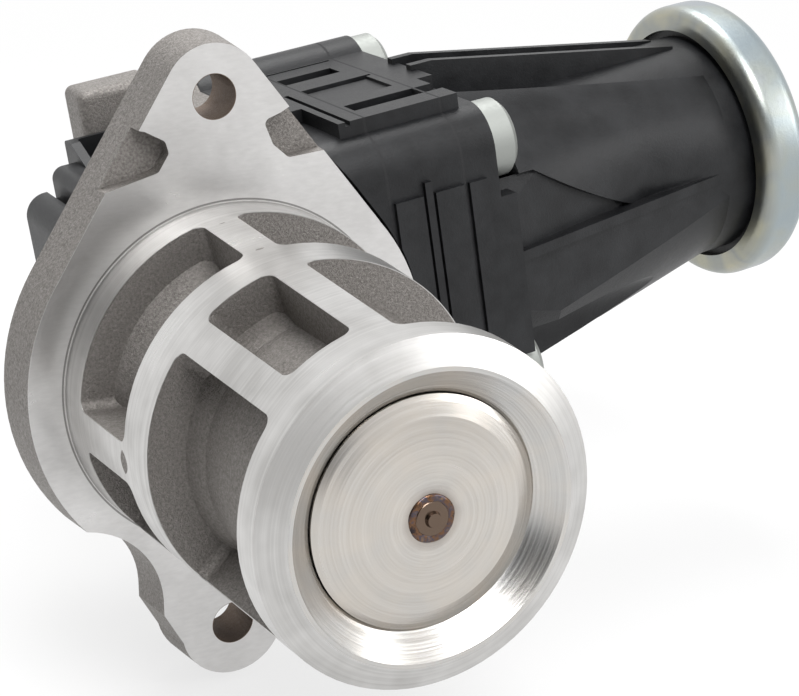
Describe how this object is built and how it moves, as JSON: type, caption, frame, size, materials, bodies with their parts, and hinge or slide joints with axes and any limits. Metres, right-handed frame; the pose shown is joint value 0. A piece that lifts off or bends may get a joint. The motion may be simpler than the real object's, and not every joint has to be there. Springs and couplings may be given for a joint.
{
  "type": "egr valve",
  "caption": "Motor-driven EGR valve: a poppet in a cast cage with a two-bolt flange, lifted by a cam through a reduction gear, with a position sensor.",
  "frame": {"origin": "on the valve stem's axis, in the machined face of the mounting flange", "axes": "-Y out of the flange's face along the cage to the poppet, +Y into the actuator; +Z towards the pointed ear; +X towards the motor, whose axis leans 8 degrees up from X"},
  "size_m": [0.1469, 0.1229, 0.0996],
  "materials": {
    "cast_aluminium": "cast, machined faces",
    "bright_steel": "turned",
    "zinc_steel": "zinc plated",
    "dark_steel": "ground",
    "black_plastic": "satin, glass filled",
    "white_plastic": "moulded gear",
    "black_rubber": "matt",
    "bronze": "sintered",
    "copper": "enamelled",
    "tin_brass": "tinned",
    "magnet_black": "sintered",
    "board_green": "lacquered"
  },
  "bodies": {
    "body": {"valve_body": "cast_aluminium", "cam_box_plug": "bright_steel", "seat_ring": "bright_steel", "guide_bush": "bronze", "stem_seal": "black_rubber", "seal_cup": "dark_steel", "return_spring": "dark_steel", "shaft_bush": "bronze", "shaft_bearing": "dark_steel", "shaft_seal": "black_rubber", "idler_pin": "dark_steel", "case_gasket": "black_rubber", "gear_cover": "black_plastic", "gear_gasket": "black_rubber", "gear_housing": "black_plastic", "motor_gasket": "black_rubber", "motor_housing": "black_plastic", "housing_screws": "zinc_steel", "motor_can": "zinc_steel", "motor_bearing_front": "bronze", "motor_bearing_rear": "bronze", "motor_end_bell": "black_plastic", "motor_magnets": "magnet_black", "brush_holder": "black_plastic", "brushes": "magnet_black", "motor_spacer": "black_rubber", "cap_seal": "black_rubber", "end_cap": "zinc_steel", "sensor_cover": "black_plastic", "cover_gasket": "black_rubber", "sensor_board": "board_green", "connector_terminals": "tin_brass", "cover_screws": "zinc_steel"},
    "cam": {"cam_shaft": "dark_steel", "lift_cam": "dark_steel", "cam_gear": "white_plastic", "sensor_magnet": "magnet_black"},
    "poppet": {"poppet_disc": "bright_steel", "valve_stem": "bright_steel", "spring_plate": "dark_steel", "follower_fork": "dark_steel", "roller_pin": "dark_steel"},
    "roller": {"cam_roller": "dark_steel"},
    "idler": {"idler_gear": "white_plastic"},
    "rotor": {"motor_shaft": "dark_steel", "motor_pinion": "bronze", "rotor_core": "dark_steel", "rotor_windings": "copper", "commutator": "copper"}
  },
  "joints": [
    {"name": "cam_turn", "type": "hinge", "parent": "body", "child": "cam", "pos_m": [0, 0.03795, 0], "axis": [0.9903, 0, 0.1392], "range_deg": [0, 150]},
    {"name": "stem_slide", "type": "slide", "parent": "body", "child": "poppet", "axis": [0, -1, 0], "range_m": [0, 0.006], "deforming": ["return_spring"]},
    {"name": "roller_spin", "type": "hinge", "parent": "poppet", "child": "roller", "pos_m": [0, 0.0288, 0], "axis": [0.9903, 0, 0.1392], "range_deg": [-300, 0]},
    {"name": "idler_turn", "type": "hinge", "parent": "body", "child": "idler", "pos_m": [-0.00221, 0.02942, 0.01569], "axis": [0.9903, 0, 0.1392], "range_deg": [-450, 0]},
    {"name": "motor_turn", "type": "hinge", "parent": "body", "child": "rotor", "pos_m": [-0.00045, 0.03194, 0.00317], "axis": [0.9903, 0, 0.1392], "range_deg": [0, 1309.09]}
  ],
  "couplings": [
    {"joint": "cam_turn", "follows": "stem_slide", "rad_per_m": 436.33},
    {"joint": "roller_spin", "follows": "stem_slide", "rad_per_m": -872.66},
    {"joint": "idler_turn", "follows": "stem_slide", "rad_per_m": -1309},
    {"joint": "motor_turn", "follows": "stem_slide", "rad_per_m": 3808}
  ]
}
